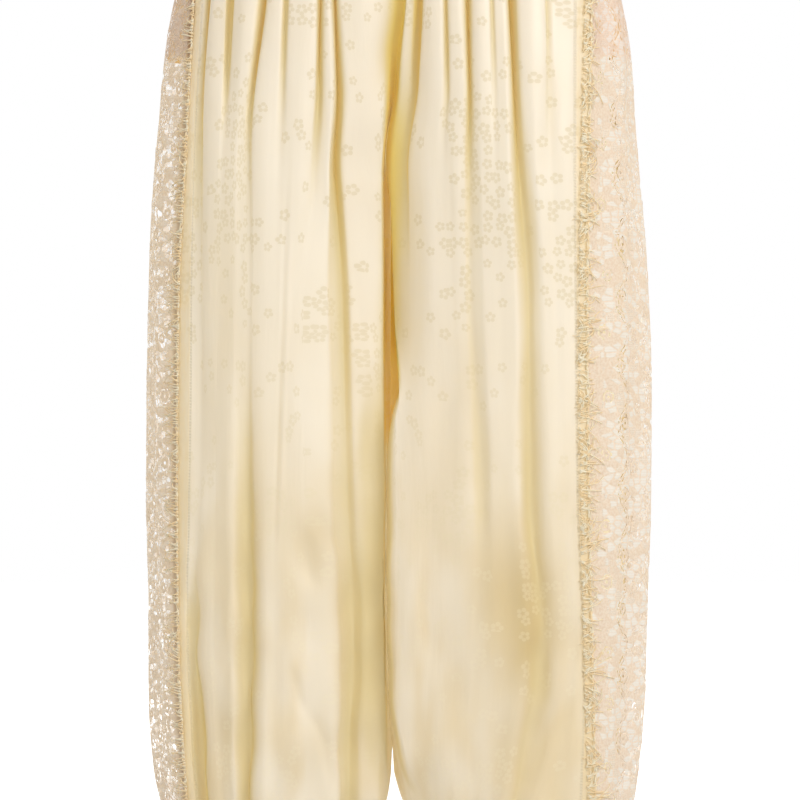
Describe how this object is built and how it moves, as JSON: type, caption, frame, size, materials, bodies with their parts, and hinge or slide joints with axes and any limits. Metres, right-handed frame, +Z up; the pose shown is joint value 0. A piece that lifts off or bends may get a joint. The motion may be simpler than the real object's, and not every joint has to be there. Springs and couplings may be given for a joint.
{
  "type": "bloomer trousers",
  "caption": "Full gathered trousers of flowered satin with side lace panels, frayed seams, an elastic waist and cuffs.",
  "frame": {"origin": "centre of the waistband's top edge, where the wearer holds the garment up", "axes": "+Z up, -Y to the garment's front, -X to the wearer's right leg"},
  "size_m": [0.4725, 0.2361, 1.025],
  "materials": {
    "satin": "glossy silk satin with a woven blossom figure",
    "lace": "matt cord and net of a wide floral lace",
    "lining": "semi-matt lining silk",
    "fringe": "loose frayed silk threads"
  },
  "bodies": {
    "root": {"waistband": "satin", "front_right": "satin", "front_left": "satin", "back_right": "satin", "back_left": "satin", "lace_right": "lace", "lace_left": "lace", "lining_right": "lining", "lining_left": "lining", "fringe_front_right": "fringe", "fringe_front_left": "fringe", "fringe_back_right": "fringe", "fringe_back_left": "fringe", "cuff_right": "satin", "cuff_left": "satin"}
  },
  "joints": []
}
